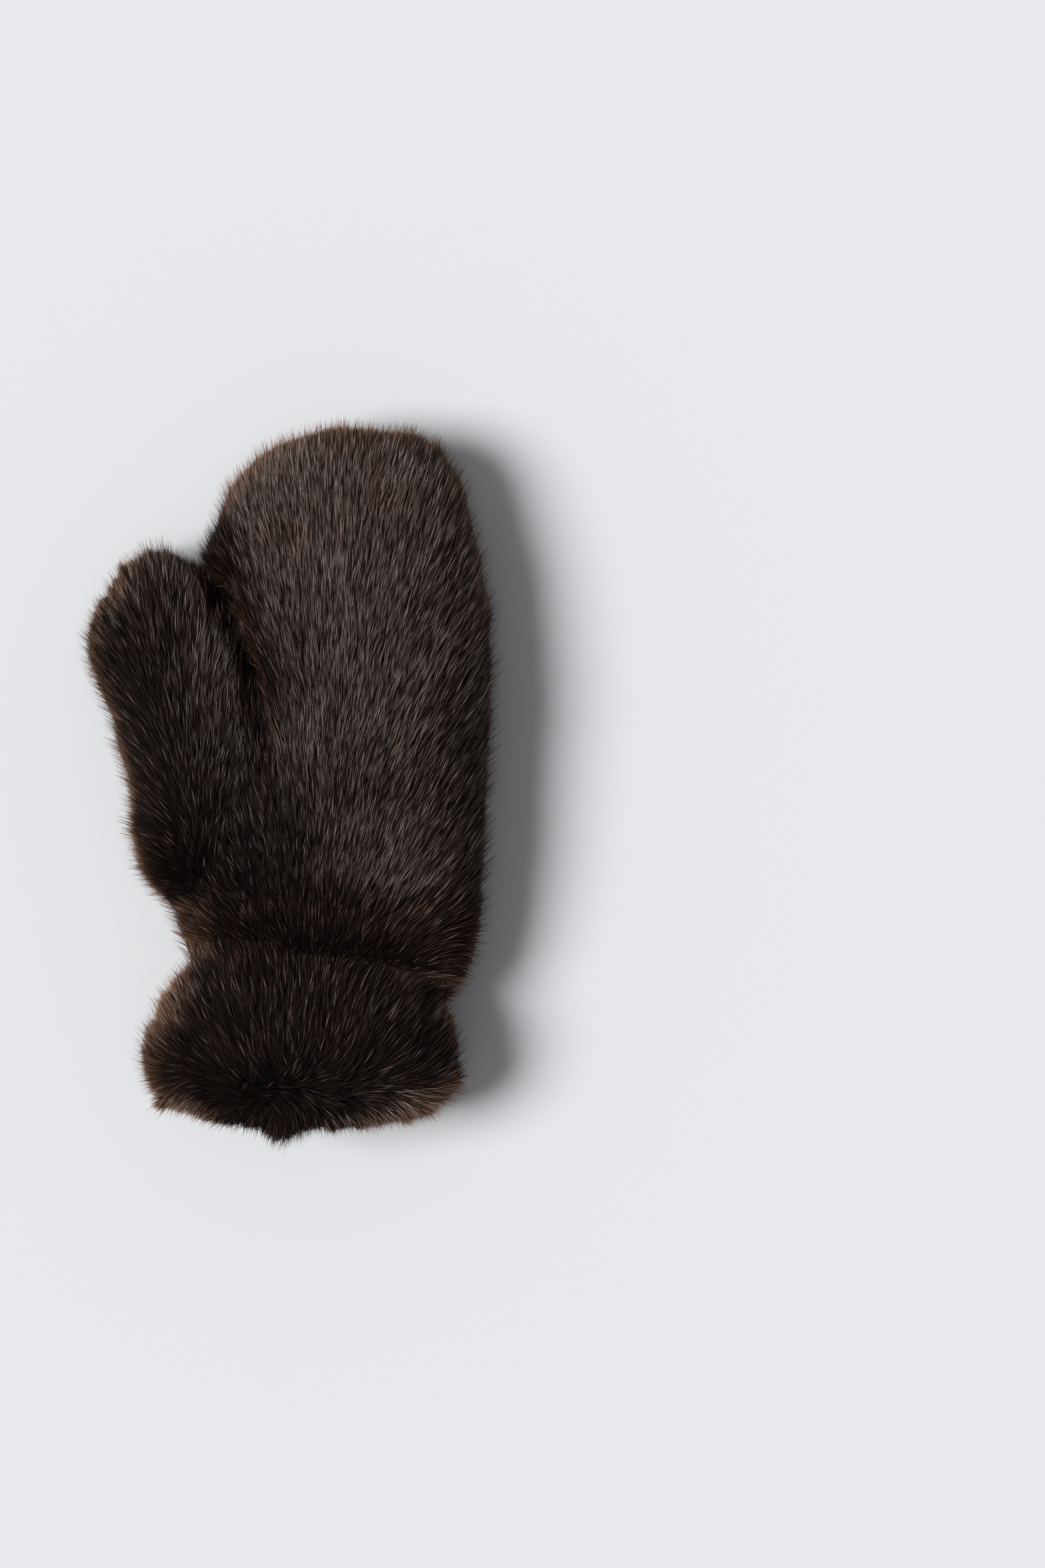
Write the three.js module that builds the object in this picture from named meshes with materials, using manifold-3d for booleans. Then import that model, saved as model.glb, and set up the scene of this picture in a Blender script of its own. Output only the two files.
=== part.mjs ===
// A left-hand fur mitten, lying palm up as it rests by itself. Millimetres, +Z up, fingertips towards +Y.
// It is drawn from the middle of its wrist, and the finished group is moved so that its origin is the bottom
// centre of its box.
import * as THREE from "three";
import { mergeVertices } from "three/addons/utils/BufferGeometryUtils.js";
import Module from "manifold-3d";

const wasm = await Module();
wasm.setup();

// Driving dimensions, the angles in degrees
const palmLength = 198;
const palmWidth = 117;
const palmDepth = 50;
const thumbLength = 116;
const thumbWidth = 49;
const thumbDepth = 46;
const thumbSplay = 13;
const cuffLength = 42.5;
const cuffWidth = 109;
const cuffDepth = 50;
const hemBow = 6;
const hemTilt = 3.6;
const wristSlant = 4.3;

// The wall is a knitted backing with the pile standing on it, thinner where the thumb presses on the palm
const backing = 2;
const pile = 8.5;
const seatWall = 5;
const clearance = 0.3;

// Locks of the pile, each a long tuft along the nap: its root, belly and tip are shares of its length
const lockLength = 19;
const lockWidth = 14;
const lockThickness = 5;
const lockRise = 3.2;
const lockPitch = 18;
const lockPlan = { root: -0.4, belly: 0.08, tip: 0.6 };
const lockSpread = 0.14;
const palmLocksPlan = { scale: 1, fan: 0.35, firstRow: 1.6, rowsLeftOut: 1.4 };
const thumbLocksPlan = { scale: 0.85, fan: 0.3, firstRow: 2.5, rowsLeftOut: 1.5 };
const cuffLocksPlan = { scale: 0.9, fan: 0.5 };

// The two hand panels meet at a side seam, a share of palmDepth up
const seamShare = 0.46;
const seamHeight = seamShare * palmDepth;

// The thumb's root is a share of half palmWidth to the left and of palmLength up from the wrist. The thumb
// comes free of the palm a share of its length further on, and has no locks where it faces the palm.
const thumbRoot = { across: 0.735, along: 0.143 };
const crotchShare = 0.42;
const mostPalmward = 0.6;

const palmSides = 26;
const thumbSides = 16;
const cuffSides = 26;
const softCorner = 0.87;
const leastHollow = 1.5;
const farAway = 600;

// Palm: along is a share of palmLength from the wrist, left and right of half palmWidth, low and high of
// palmDepth. Low is under the floor where the weight presses the fur flat, and left is drawn in by the thumb.
const palmSections = [
  { along: -0.06, left: 0.785, right: 0.84, low: 0.11, high: 0.84 },
  { along: 0.0, left: 0.785, right: 0.855, low: 0.1, high: 0.84 },
  { along: 0.045, left: 0.81, right: 0.93, low: 0.02, high: 0.89 },
  { along: 0.11, left: 0.9, right: 0.98, low: -0.06, high: 0.95 },
  { along: 0.2, left: 0.93, right: 0.99, low: -0.1, high: 1.0 },
  { along: 0.3, left: 0.92, right: 0.985, low: -0.11, high: 1.02 },
  { along: 0.38, left: 0.84, right: 0.98, low: -0.11, high: 1.02 },
  { along: 0.53, left: 0.74, right: 0.955, low: -0.11, high: 1.02 },
  { along: 0.66, left: 0.9, right: 0.925, low: -0.11, high: 1.0 },
  { along: 0.755, left: 0.91, right: 0.86, low: -0.1, high: 0.97 },
  { along: 0.845, left: 0.79, right: 0.755, low: -0.07, high: 0.92 },
  { along: 0.915, left: 0.67, right: 0.69, low: 0.0, high: 0.85 },
  { along: 0.965, left: 0.42, right: 0.56, low: 0.08, high: 0.76 },
  { along: 0.993, left: 0.2, right: 0.4, low: 0.18, high: 0.65 },
];

// Thumb, along its own axis, which comes down to the floor: shares of thumbLength, half thumbWidth and
// thumbDepth
const thumbSections = [
  { along: -0.08, left: 0.25, right: 0.2, low: 0.5, high: 0.72 },
  { along: -0.04, left: 0.42, right: 0.4, low: 0.42, high: 0.86 },
  { along: 0.02, left: 0.6, right: 0.6, low: 0.36, high: 0.98 },
  { along: 0.1, left: 0.74, right: 0.8, low: 0.31, high: 1.05 },
  { along: 0.21, left: 0.79, right: 0.97, low: 0.25, high: 1.08 },
  { along: 0.34, left: 0.76, right: 1.2, low: 0.18, high: 1.08 },
  { along: 0.5, left: 0.85, right: 1.23, low: 0.1, high: 1.05 },
  { along: 0.66, left: 0.94, right: 1.12, low: 0.02, high: 0.99 },
  { along: 0.8, left: 0.97, right: 0.96, low: -0.06, high: 0.92 },
  { along: 0.9, left: 0.81, right: 0.85, low: -0.02, high: 0.82 },
  { along: 0.96, left: 0.64, right: 0.68, low: 0.08, high: 0.72 },
  { along: 0.99, left: 0.4, right: 0.42, low: 0.2, high: 0.6 },
];

// Cuff, from the wrist down the outside, round the turned hem and back up inside: along is a share of
// cuffLength below the wrist, left and right of half cuffWidth, low and high of cuffDepth, and hem the share
// that the ring has of the hem's bow and tilt
const cuffSections = [
  { along: -0.17, left: 0.83, right: 0.88, low: 0.15, high: 0.8, hem: 0 },
  { along: 0.0, left: 0.835, right: 0.885, low: 0.14, high: 0.81, hem: 0 },
  { along: 0.15, left: 0.9, right: 0.91, low: 0.06, high: 0.9, hem: 0.05 },
  { along: 0.32, left: 0.955, right: 0.95, low: 0.0, high: 0.97, hem: 0.2 },
  { along: 0.53, left: 0.995, right: 0.965, low: -0.05, high: 1.0, hem: 0.45 },
  { along: 0.74, left: 1.0, right: 0.93, low: -0.05, high: 0.99, hem: 0.7 },
  { along: 0.9, left: 0.96, right: 0.85, low: -0.02, high: 0.93, hem: 0.95 },
  { along: 1.0, left: 0.88, right: 0.75, low: 0.07, high: 0.84, hem: 1 },
  { along: 1.0, left: 0.79, right: 0.67, low: 0.15, high: 0.76, hem: 1 },
  { along: 0.92, left: 0.71, right: 0.61, low: 0.22, high: 0.7, hem: 0.9 },
  { along: 0.74, left: 0.66, right: 0.59, low: 0.25, high: 0.67, hem: 0.6 },
  { along: 0.32, left: 0.61, right: 0.59, low: 0.28, high: 0.65, hem: 0.2 },
  { along: 0.0, left: 0.58, right: 0.6, low: 0.31, high: 0.65, hem: 0 },
  { along: -0.17, left: 0.58, right: 0.6, low: 0.31, high: 0.65, hem: 0 },
];

// Rows of locks on the cuff: row is a place in cuffSections, and direction points down it (1) or up to the
// hand (-1)
const cuffLockRows = [
  { row: 2.7, direction: -1, rise: 0.8 },
  { row: 3.7, direction: -1, rise: 1.2 },
  { row: 4.7, direction: 1, rise: 1.4 },
  { row: 5.9, direction: 1, rise: 1.0 },
];

const wall = backing + pile;
const radians = THREE.MathUtils.degToRad;
const thumbBase = new THREE.Vector3((-thumbRoot.across * palmWidth) / 2, thumbRoot.along * palmLength, 0);

// A smooth value of a table's column at a fractional row
function columnAt(table, column, row) {
  const last = table.length - 1;
  const first = Math.min(Math.max(Math.floor(row), 0), last - 1);
  const share = Math.min(Math.max(row - first, 0), 1);
  const value = (i) => table[Math.min(Math.max(i, 0), last)][column];
  const curve = (before, start, end, after) =>
    start +
    share * 0.5 * (end - before +
      share * (2 * before - 5 * start + 4 * end - after + share * (3 * (start - end) + after - before)));
  return curve(value(first - 1), value(first), value(first + 1), value(first + 2));
}

// The left, right, low and high of a section, in millimetres
function sectionAt(table, { length, width, depth }, row) {
  return {
    y: columnAt(table, "along", row) * length,
    left: (-columnAt(table, "left", row) * width) / 2,
    right: (columnAt(table, "right", row) * width) / 2,
    low: columnAt(table, "low", row) * depth,
    high: columnAt(table, "high", row) * depth,
  };
}

// The hollow of a section: the wall comes off all round, above the floor that presses the fur flat
function hollowOf({ y, left, right, low, high }, thickness) {
  const floor = Math.max(low, 0);
  const across = (left + right) / 2;
  const level = (floor + high) / 2;
  const halfWidth = Math.max((right - left) / 2 - thickness, leastHollow);
  const halfDepth = Math.max((high - floor) / 2 - thickness, leastHollow);
  return {
    y,
    left: across - halfWidth,
    right: across + halfWidth,
    low: level - halfDepth,
    high: level + halfDepth,
  };
}

// A point on a section's oval, which has soft corners
function ovalPoint({ y, left, right, low, high }, turn) {
  const soft = (value) => Math.sign(value) * Math.abs(value) ** softCorner;
  return new THREE.Vector3(
    (left + right) / 2 + ((right - left) / 2) * soft(Math.cos(turn)),
    y,
    (low + high) / 2 + ((high - low) / 2) * soft(Math.sin(turn)),
  );
}

// Surfaces are functions of a table's row and a turn round the section
const palmSize = { length: palmLength, width: palmWidth, depth: palmDepth };
const thumbSize = { length: thumbLength, width: thumbWidth, depth: thumbDepth };
const cuffSize = { length: -cuffLength, width: cuffWidth, depth: cuffDepth };

const palmSurface = (row, turn) => ovalPoint(sectionAt(palmSections, palmSize, row), turn);

// The palm's hollow ends one wall short of the fingertips
function palmHollowSurface(row, turn) {
  const section = hollowOf(sectionAt(palmSections, palmSize, row), wall);
  section.y *= 1 - wall / palmLength;
  return ovalPoint(section, turn);
}

const placeThumb = (point) =>
  point.applyAxisAngle(new THREE.Vector3(0, 0, 1), radians(thumbSplay)).add(thumbBase);

const thumbSurface = (row, turn) => placeThumb(ovalPoint(sectionAt(thumbSections, thumbSize, row), turn));

function thumbHollowSurface(row, turn) {
  const section = hollowOf(sectionAt(thumbSections, thumbSize, row), wall);
  section.y *= 1 - wall / thumbLength;
  return placeThumb(ovalPoint(section, turn));
}

// The cuff goes down from the wrist, and its hem bows down in the middle and tilts up at the right
function cuffSurface(row, turn) {
  const point = ovalPoint(sectionAt(cuffSections, cuffSize, row), -turn);
  const across = point.x / (cuffWidth / 2);
  point.y += columnAt(cuffSections, "hem", row) * (hemTilt * across - hemBow * (1 - across ** 2));
  return point;
}

// A place on a surface: the point, the way out and the way towards higher rows
function standAt(surface, row, turn) {
  const step = 0.02;
  const point = surface(row, turn);
  const along = surface(row + step, turn).sub(surface(row - step, turn)).normalize();
  const around = surface(row, turn + step).sub(surface(row, turn - step)).normalize();
  return { point, along, out: along.clone().cross(around).normalize() };
}

// A solid from vertices and triangles that close
function solidFrom(geometry) {
  const plain = geometry.clone();
  plain.deleteAttribute("normal");
  plain.deleteAttribute("uv");
  const merged = mergeVertices(plain, 1e-4);
  return new wasm.Manifold(
    new wasm.Mesh({
      numProp: 3,
      vertProperties: merged.attributes.position.array,
      triVerts: new Uint32Array(merged.index.array),
    }),
  );
}

// A solid from rings of points, either capped at both ends or joined from the last ring to the first
function ringSolid(rings, isLoop) {
  const sides = rings[0].length;
  const points = rings.flat();
  const index = [];
  const bands = isLoop ? rings.length : rings.length - 1;
  for (let band = 0; band < bands; band++) {
    const here = band * sides;
    const there = ((band + 1) % rings.length) * sides;
    for (let side = 0; side < sides; side++) {
      const next = (side + 1) % sides;
      index.push(here + side, there + side, here + next);
      index.push(here + next, there + side, there + next);
    }
  }
  if (!isLoop) {
    for (const isEnd of [false, true]) {
      const first = isEnd ? (rings.length - 1) * sides : 0;
      const centre = new THREE.Vector3();
      for (let side = 0; side < sides; side++) {
        const pair = [first + side, first + ((side + 1) % sides)];
        centre.addScaledVector(points[first + side], 1 / sides);
        index.push(rings.length * sides + (isEnd ? 1 : 0), ...(isEnd ? pair.reverse() : pair));
      }
      points.push(centre);
    }
  }
  const geometry = new THREE.BufferGeometry().setFromPoints(points);
  geometry.setIndex(index);
  return solidFrom(geometry);
}

// The solid inside a surface, with a section at every row of its table, grown outwards by a clearance
function surfaceSolid(surface, table, sides, { grow = 0, isLoop = false } = {}) {
  const last = table.length - 1;
  const rings = table.map((_, row) =>
    Array.from({ length: sides }, (_, side) => {
      const { point, along, out } = standAt(surface, row, (side / sides) * 2 * Math.PI);
      const endways = (row === last) - (row === 0);
      return point.addScaledVector(out, grow).addScaledVector(along, endways * grow);
    }),
  );
  return ringSolid(rings, isLoop);
}

// One lock: a point sunk in the body, a broad belly and a tip that stands off along the nap. Its slender ends
// grow by more than the clearance, so that its faces move out by about the clearance.
function lockSolid({ point, out, nap, scale, rise }, grow = 0) {
  const side = new THREE.Vector3().crossVectors(nap, out);
  const place = (along, up, further) =>
    point
      .clone()
      .addScaledVector(nap, along * lockLength * scale + further)
      .addScaledVector(out, up * scale);
  const belly = place(lockPlan.belly, 0, 0);
  const halfWidth = (lockWidth / 2) * scale + grow;
  const halfThickness = (lockThickness / 2) * scale + grow;
  const points = [
    place(lockPlan.root, -lockThickness / 2, -3 * grow),
    belly.clone().addScaledVector(side, halfWidth),
    belly.clone().addScaledVector(out, halfThickness),
    belly.clone().addScaledVector(side, -halfWidth),
    belly.clone().addScaledVector(out, -halfThickness),
    place(lockPlan.tip, rise * lockRise + grow / 2, 3 * grow),
  ];
  const geometry = new THREE.BufferGeometry().setFromPoints(points);
  geometry.setIndex([0, 1, 2, 0, 2, 3, 0, 3, 4, 0, 4, 1, 5, 2, 1, 5, 3, 2, 5, 4, 3, 5, 1, 4]);
  return solidFrom(geometry);
}

// Turns spread evenly round a surface's ring, half a place on at every other ring
function evenTurns(surface, row, spacing, isOdd) {
  const fine = 180;
  const lengths = [0];
  for (let i = 1; i <= fine; i++) {
    const [before, here] = [i - 1, i].map((k) => surface(row, (k / fine) * 2 * Math.PI));
    lengths.push(lengths[i - 1] + before.distanceTo(here));
  }
  const count = Math.max(3, Math.round(lengths[fine] / spacing));
  return Array.from({ length: count }, (_, k) => {
    const wanted = ((k + (isOdd ? 0.5 : 0)) / count) * lengths[fine];
    return (lengths.findIndex((length) => length >= wanted) / fine) * 2 * Math.PI;
  });
}

// Rows spread evenly along the top line of a surface, between two rows of its table
function evenRows(surface, first, last, spacing) {
  const fine = 240;
  const rows = [first];
  let gone = 0;
  let before = surface(first, Math.PI / 2);
  for (let i = 1; i <= fine; i++) {
    const row = first + ((last - first) * i) / fine;
    const here = surface(row, Math.PI / 2);
    gone += here.distanceTo(before);
    before = here;
    if (gone < spacing) continue;
    rows.push(row);
    gone = 0;
  }
  return rows;
}

// The nap runs along the surface and fans out from the middle line
function napAt({ along, out }, direction, fan) {
  const nap = along.clone().multiplyScalar(direction);
  nap.x += fan;
  return nap.addScaledVector(out, -nap.dot(out)).normalize();
}

// One ring of locks round a surface, none where it is pressed flat, with a repeatable spread of sizes
function ringOfLocks(surface, row, isOdd, { scale, fan, direction = 1, rise = 1 }) {
  return evenTurns(surface, row, lockWidth * scale, isOdd).flatMap((turn, k) => {
    const stand = standAt(surface, row, turn);
    if (stand.point.z < lockThickness) return [];
    const nap = napAt(stand, direction, fan * Math.cos(turn));
    const spread = 1 + lockSpread * Math.sin(row * 7.3 + k * 2.9);
    return [{ ...stand, nap, scale: scale * spread, rise }];
  });
}

// Rings of locks all along a tube
function tubeLocks(surface, table, plan) {
  const last = table.length - plan.rowsLeftOut;
  return evenRows(surface, plan.firstRow, last, lockPitch * plan.scale).flatMap((row, ring) =>
    ringOfLocks(surface, row, ring % 2, plan),
  );
}

const joined = (solids) => wasm.Manifold.union(solids);

// A large block on one side of a plane through the wrist's middle, turned about the vertical
function block(x, y, z, turn = 0) {
  const box = new THREE.BoxGeometry(farAway, farAway, farAway);
  box.translate((x * farAway) / 2, (y * farAway) / 2, (z * farAway) / 2);
  box.rotateZ(turn);
  return box;
}

const half = clearance / 2;
const slant = -radians(wristSlant);
const crotch = thumbBase.y + crotchShare * thumbLength;
const aboveFloor = solidFrom(block(0, 0, 1));
const aboveSeam = solidFrom(block(0, 0, 1).translate(0, 0, seamHeight + half));
const belowSeam = solidFrom(block(0, 0, -1).translate(0, 0, seamHeight - half));
const aboveCrease = solidFrom(block(0, 1, 0, slant).translate(0, half, 0));
const belowCrease = solidFrom(block(0, -1, 0, slant).translate(0, -half, 0));
const aboveCrotch = solidFrom(block(0, 1, 0).translate(0, crotch, 0));

// Thumb form: the tube with its locks, none on the side that lies against the palm
const thumbLocks = tubeLocks(thumbSurface, thumbSections, thumbLocksPlan).filter(
  ({ out }) => out.x < mostPalmward,
);
const thumbForm = (grow) =>
  joined([
    surfaceSolid(thumbSurface, thumbSections, thumbSides, { grow }),
    ...thumbLocks.map((lock) => lockSolid(lock, grow)),
  ]);
const thumbRoom = thumbForm(clearance);

// The hand's hollow keeps a wall beside the thumb, and lies open to the thumb's own hollow below the crotch
const thumbGuard = surfaceSolid(thumbSurface, thumbSections, thumbSides, { grow: seatWall + clearance });
const handHollow = surfaceSolid(palmHollowSurface, palmSections, palmSides).subtract(
  thumbGuard.intersect(aboveCrotch),
);
const thumbHollow = surfaceSolid(thumbHollowSurface, thumbSections, thumbSides);

// A lock is left out where the seam or the thumb would cut it in two
const palmLocks = tubeLocks(palmSurface, palmSections, palmLocksPlan)
  .map((lock) => lockSolid(lock))
  .filter((lock) => {
    const { min, max } = lock.boundingBox();
    const isAbove = min[2] > seamHeight + half;
    const isBelow = max[2] < seamHeight - half;
    return (isAbove || isBelow) && lock.intersect(thumbRoom).isEmpty();
  });
const handShell = joined([surfaceSolid(palmSurface, palmSections, palmSides), ...palmLocks])
  .subtract(handHollow)
  .subtract(thumbRoom)
  .intersect(aboveCrease);

function palmPanel() {
  return handShell.intersect(aboveSeam);
}

function backPanel() {
  return handShell.intersect(belowSeam).intersect(aboveFloor);
}

function thumb() {
  return thumbForm(0).subtract(thumbHollow).subtract(handHollow).intersect(aboveFloor);
}

function cuff() {
  const body = surfaceSolid(cuffSurface, cuffSections, cuffSides, { isLoop: true });
  const locks = cuffLockRows.flatMap(({ row, direction, rise }, ring) =>
    ringOfLocks(cuffSurface, row, ring % 2, { ...cuffLocksPlan, direction, rise }),
  );
  return joined([body, ...locks.map((lock) => lockSolid(lock))])
    .intersect(belowCrease)
    .intersect(aboveFloor);
}

// Fur colours, dark at the cuff's crease and browner at the thumb
const furOf = (color) => new THREE.MeshStandardMaterial({ color, roughness: 0.95, metalness: 0 });
const pieces = [
  { name: "palm_panel", solid: palmPanel(), color: 0x3c332f },
  { name: "back_panel", solid: backPanel(), color: 0x38302c },
  { name: "thumb", solid: thumb(), color: 0x43342d },
  { name: "cuff", solid: cuff(), color: 0x3a2f2a },
];

const mitten = new THREE.Group();
for (const { name, solid, color } of pieces) {
  const { vertProperties, triVerts } = solid.getMesh();
  const geometry = new THREE.BufferGeometry();
  geometry.setAttribute("position", new THREE.BufferAttribute(vertProperties, 3));
  geometry.setIndex(new THREE.BufferAttribute(triVerts, 1));
  geometry.computeVertexNormals();
  const mesh = new THREE.Mesh(geometry, furOf(color));
  mesh.name = name;
  mitten.add(mesh);
}

const bounds = new THREE.Box3().setFromObject(mitten);
const centre = bounds.getCenter(new THREE.Vector3());
mitten.position.set(-centre.x, -centre.y, -bounds.min.z);

export default mitten;
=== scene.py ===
"""The looks of the fur mitten: an underfur base and a pile of separate strands on each piece."""

import math

import bpy
import numpy as np
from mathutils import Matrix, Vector
from mathutils.bvhtree import BVHTree
from mathutils.kdtree import KDTree


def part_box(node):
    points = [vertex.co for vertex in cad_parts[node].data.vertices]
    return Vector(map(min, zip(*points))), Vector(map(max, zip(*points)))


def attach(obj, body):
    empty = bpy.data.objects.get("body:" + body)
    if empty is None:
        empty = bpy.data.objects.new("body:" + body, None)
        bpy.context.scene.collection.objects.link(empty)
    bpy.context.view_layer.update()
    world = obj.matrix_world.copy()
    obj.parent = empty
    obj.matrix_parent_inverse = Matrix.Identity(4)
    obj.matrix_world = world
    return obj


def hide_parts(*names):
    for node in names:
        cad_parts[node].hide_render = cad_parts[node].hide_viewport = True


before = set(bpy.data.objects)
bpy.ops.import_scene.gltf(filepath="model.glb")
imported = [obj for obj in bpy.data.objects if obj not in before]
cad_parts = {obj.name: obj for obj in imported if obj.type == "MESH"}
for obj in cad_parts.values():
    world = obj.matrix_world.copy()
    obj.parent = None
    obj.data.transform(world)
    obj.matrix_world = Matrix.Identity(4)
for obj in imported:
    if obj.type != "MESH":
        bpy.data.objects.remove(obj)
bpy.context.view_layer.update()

MM = 0.001
SEED = 20260

# The wrist's middle, from which the photograph was measured, lies this far right of the palm's middle
WRIST_RIGHT = -3.3 * MM
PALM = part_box("palm_panel")
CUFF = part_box("cuff")
WRIST = Vector(((PALM[0].x + PALM[1].x) / 2 + WRIST_RIGHT, (PALM[0].y + CUFF[1].y) / 2, 0))

# The thumb's axis, in millimetres from the wrist, and its slant in degrees
THUMB_BASE = np.array((-43.0, 28.3))
THUMB_SLANT = math.radians(13)
THUMB_AXIS = np.array((-math.sin(THUMB_SLANT), math.cos(THUMB_SLANT)))
THUMB_SIDE = np.array((math.cos(THUMB_SLANT), math.sin(THUMB_SLANT)))

# Underfur bases: their mesh and the pile's depth in metres, and rounds of smoothing, which takes each point
# halfway to the middle of its neighbours
VOXEL = 0.0025
PILE_DEPTH = 0.0042
PRESSED_SHARE = 0.45
SMOOTHING = 0.5
RELAX_ROUNDS = 34
CALM_ROUNDS = 24
LAST_ROUNDS = 3
SPOT_ROUNDS = 14
CREASE_KEPT = 9.0

# Rays that tell the hollow from the outside, and the depth of the fur turned in at the hem, in metres
RAY_START = 0.0007
RAY_REACH = 0.16
HEM_FUR = 0.014

# The valley between the thumb and the hand: how it is found and carved, in metres, and its line, in
# millimetres from the wrist, along which it moves to the right
VALLEY_ROUNDS = 60
VALLEY_EVEN = 0.6
VALLEY_BLUR = 4
VALLEY_SUNK = (0.0004, 0.0024)
VALLEY_DEPTH = 0.0085
VALLEY_FROM = (12.0, 42.0)
VALLEY_LINE = np.array(((-28.0, 66.0), (-30.0, 80.0), (-37.0, 100.0), (-42.0, 113.0), (-54.0, 141.0)))
VALLEY_SPREAD = 13.0
VALLEY_PUSH = 7.5
VALLEY_START = (48.0, 76.0)
VALLEY_END = (152.0, 136.0)
VALLEY_HEIGHT = (8.0, 22.0)

# The crease above the cuff, carved this deep in metres
CREASE_DEPTH = 0.003
CREASE_MIDDLE = 1.5
CREASE_REACH = 4.5
CREASE_HEIGHT = (12.0, 24.0)

# The thumb's tip, in millimetres: it rises to a round crown, drops to the right and bulges to the left
TIP_ALONG = (84.0, 112.0)
TIP_ACROSS = (27.0, 21.0)
TIP_HEIGHT = (4.0, 12.0)
TIP_RISE = 3.4
TIP_MIDDLE = 2.0
TIP_SPREAD = 11.0
TIP_DROP = 3.0
TIP_DROP_ACROSS = (7.0, 20.0)
TIP_BULGE = 3.2
BULGE_MIDDLE = 92.0
BULGE_SPREAD = 17.0
BULGE_ACROSS = (0.0, -22.0)

# The cuff's outline, in millimetres: its hem's line, its corners and shoulder, and the notch above its
# right end
HEM_REACH = 18.0
HEM_START = -22.0
HEM_STEP = 3.5
CORNER_OUT = 4.2
CORNER_ACROSS = (36.0, 54.0)
CORNER_ALONG = (-16.0, -34.0)
SHOULDER_OUT = 1.6
SHOULDER_ACROSS = (-30.0, -50.0)
SHOULDER_TOP = (-2.0, -14.0)
SHOULDER_FOOT = (-34.0, -24.0)
NOTCH_LEVEL = -7.0
NOTCH_REACH = 7.0
NOTCH_DEPTH = 3.6
NOTCH_ACROSS = (34.0, 54.0)
HEM_LINE = np.array((
    (-57.0, -34.5), (-52.5, -43.5), (-47.0, -48.8), (-41.0, -51.2), (-33.0, -52.6), (-16.0, -53.4),
    (-4.0, -54.2), (3.0, -52.6), (22.0, -50.3), (38.0, -47.2), (46.0, -43.8), (51.5, -38.5), (55.5, -30.0),
))

# Strands: where their joints are, and their half widths there
JOINTS = np.array((0.0, 0.5, 1.0))
TAPER = np.array((0.85, 1.0, 0.0))
FINE_STEPS = 8
FLOOR_GAP = 0.00015
MOST_STRANDS = 65000
FALL = 1.4
TUFT_PULL = 0.5
TUFT_SPACING = 3.0
LEADER_PULL = (0.3, 1.25)
BROAD_SWIRL = 0.06
NARROW_SWIRL = 0.035
SIDE_BEND = 0.09
TWIST = 0.5
LENGTH_SWELL = 0.08
VALLEY_SHORTER = 0.5
PRESSED_SHORTER = 0.45
RIM_SHORTER = 0.12
RIM_FEWER_GUARDS = 0.5
GUARD_LOOSER = 0.5
GUARD_WIDER = 0.15

# The angle of a strand to the skin at its root and its tip, in degrees, and what is added to it
ROOT_ANGLE = {"lying": 52, "standing": 30, "steep": 8, "guard": 6, "steep guard": 0}
TIP_ANGLE = {"lying": 9, "standing": 55, "steep": 10, "guard": 8, "steep guard": 12}
ANGLE_CURVE = 0.7

# Colours: the map has a column for each tone and warmth
BAKE_MAP = "OFBake"
TONES = 16
WARMTHS = 4
COLUMN_MARGIN = 0.08
ROW_MARGIN = 0.02
TONE_OFFSET = -0.12
# Painted shade: how much darker the hairs are in creases and valleys
PAINTED_VALLEY_SHADE = -0.3
DARKEST = -0.04
LIFT = 0.03
# Painted glints: the guard hairs are lighter by this much and by a random share more
GUARD_GLINT_TONE = 0.17
GUARD_GLINT_SPREAD = 0.18
NARROW_TONES = 0.03
BROAD_TONES = 0.025
BROAD_WARMTHS = 0.1
WARMTH_SPREAD = 0.15
SHORT_WARMTH = 0.25
# Painted glints: the guard hairs are greyer
GUARD_GLINT_WARMTH = -0.2
# Rims warmer: the browner fur seen from the side, and painted light shining through it
RIM_WARMTH = 0.1

# Smooth patterns: how many waves they add up, their sizes as shares, and the peak that counts as 1
WAVE_COUNT = 9
WAVE_SIZES = (0.75, 1.7)
WAVE_PEAK = 1.6

rng = np.random.default_rng(SEED)


def smooth(low, high, value):
    share = np.clip((value - low) / (high - low), 0, 1)
    return share * share * (3 - 2 * share)


def unit(vectors):
    lengths = np.linalg.norm(vectors, axis=1, keepdims=True)
    return vectors / np.maximum(lengths, 1e-9)


def from_wrist(points):
    """Points in millimetres from the wrist's middle."""
    return (points - np.array(WRIST)) / MM


def waves(points, size, seed):
    """A smooth pattern from -1 to 1 with swells about a size across, in the points' own units."""
    local = np.random.default_rng(seed)
    total = np.zeros(len(points))
    for _ in range(WAVE_COUNT):
        way = local.normal(size=3)
        way /= np.linalg.norm(way)
        pace = 2 * math.pi / (size * local.uniform(*WAVE_SIZES))
        total += np.sin(points @ way * pace + local.uniform(0, 2 * math.pi))
    return total / math.sqrt(WAVE_COUNT / 2) / WAVE_PEAK


# Which way the pile lies: x and y of the nap in the wrist's frame, and how far it stands up, from 0 to 1.
# All places are in millimetres from the wrist

# The fold below the thumb's root
FOLD_ENDS = np.array(((-25.0, 33.0), (-41.0, 19.0)))
FOLD_REACH = 9.0
FOLD_EDGE = 1.5
FOLD_CORE = 0.3
FOLD_TURN = 0.3
FOLD_STAND = 0.2

# The hand: fanned out to its sides, away from its heel lower down, and down at its heel's right
HAND_FAN = 0.5
HAND_HALF_WIDTH = 58.0
HEEL_CENTRE = np.array((-2.0, -52.0))
HEEL_LEVELS = (72.0, 16.0)
HEEL_RIGHT_WAY = np.array((0.9, -0.5))
HEEL_RIGHT_X = (30.0, 52.0)
HEEL_RIGHT_Y = (34.0, 6.0)

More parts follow.
